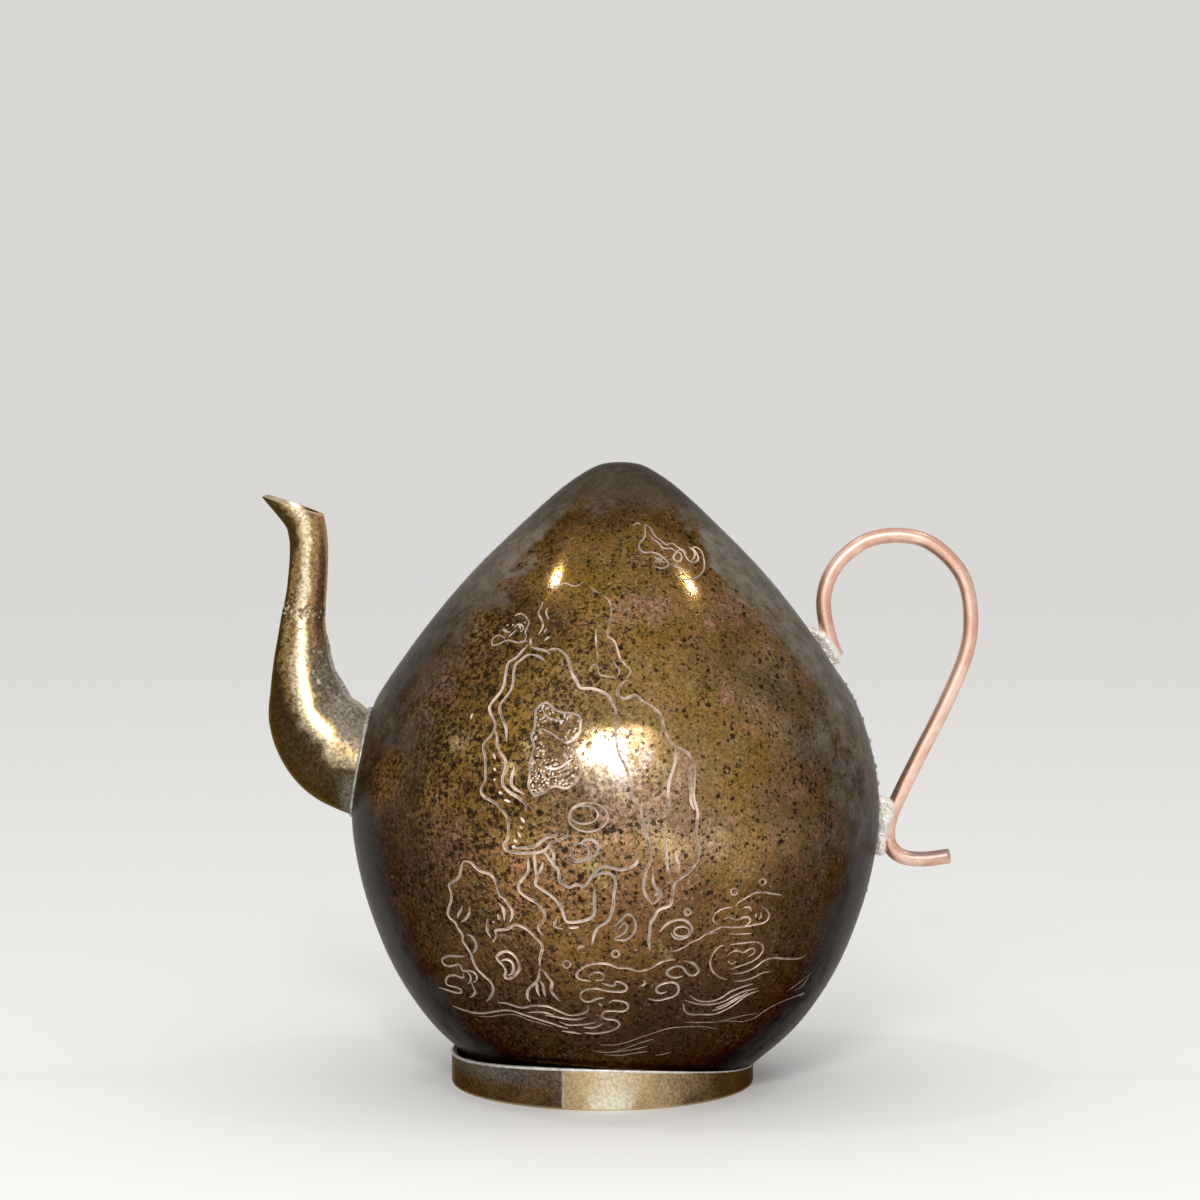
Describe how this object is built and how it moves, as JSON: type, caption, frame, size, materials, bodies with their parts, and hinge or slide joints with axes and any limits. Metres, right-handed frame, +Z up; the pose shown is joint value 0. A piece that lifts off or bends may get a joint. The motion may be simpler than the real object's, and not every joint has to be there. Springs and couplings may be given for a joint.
{
  "type": "peach-shaped water dropper",
  "caption": "Brass peach-shaped water dropper with a beak spout, a bent wire finger loop and a foot ring, filled through a tube in its base.",
  "frame": {"origin": "on the table, under the point of the peach and midway between the spout's lip and the handle", "axes": "+Z up, +X from the spout towards the handle, -Y towards the engraved front"},
  "size_m": [0.1154, 0.0784, 0.1],
  "materials": {
    "dark_brass": "dark patina, engraved",
    "bright_brass": "worn, speckled",
    "foot_brass": "dull",
    "inner_brass": "dull, unpolished",
    "copper_wire": "satin, copper coloured",
    "solder": "matte grey, lumpy"
  },
  "bodies": {
    "root": {"front_shell": "dark_brass", "rear_shell": "dark_brass", "seam_over_point": "solder", "seam_under_spout": "solder", "spout_lower": "bright_brass", "spout_tip": "bright_brass", "spout_joint_solder": "solder", "spout_seam_solder": "solder", "spout_base_solder": "solder", "handle_wire": "copper_wire", "handle_upper_solder": "solder", "handle_lower_solder": "solder", "foot_ring": "foot_brass", "foot_ring_joint": "solder", "foot_solder": "solder", "base_disc": "foot_brass", "fill_tube": "inner_brass", "fill_collar": "solder"}
  },
  "joints": []
}
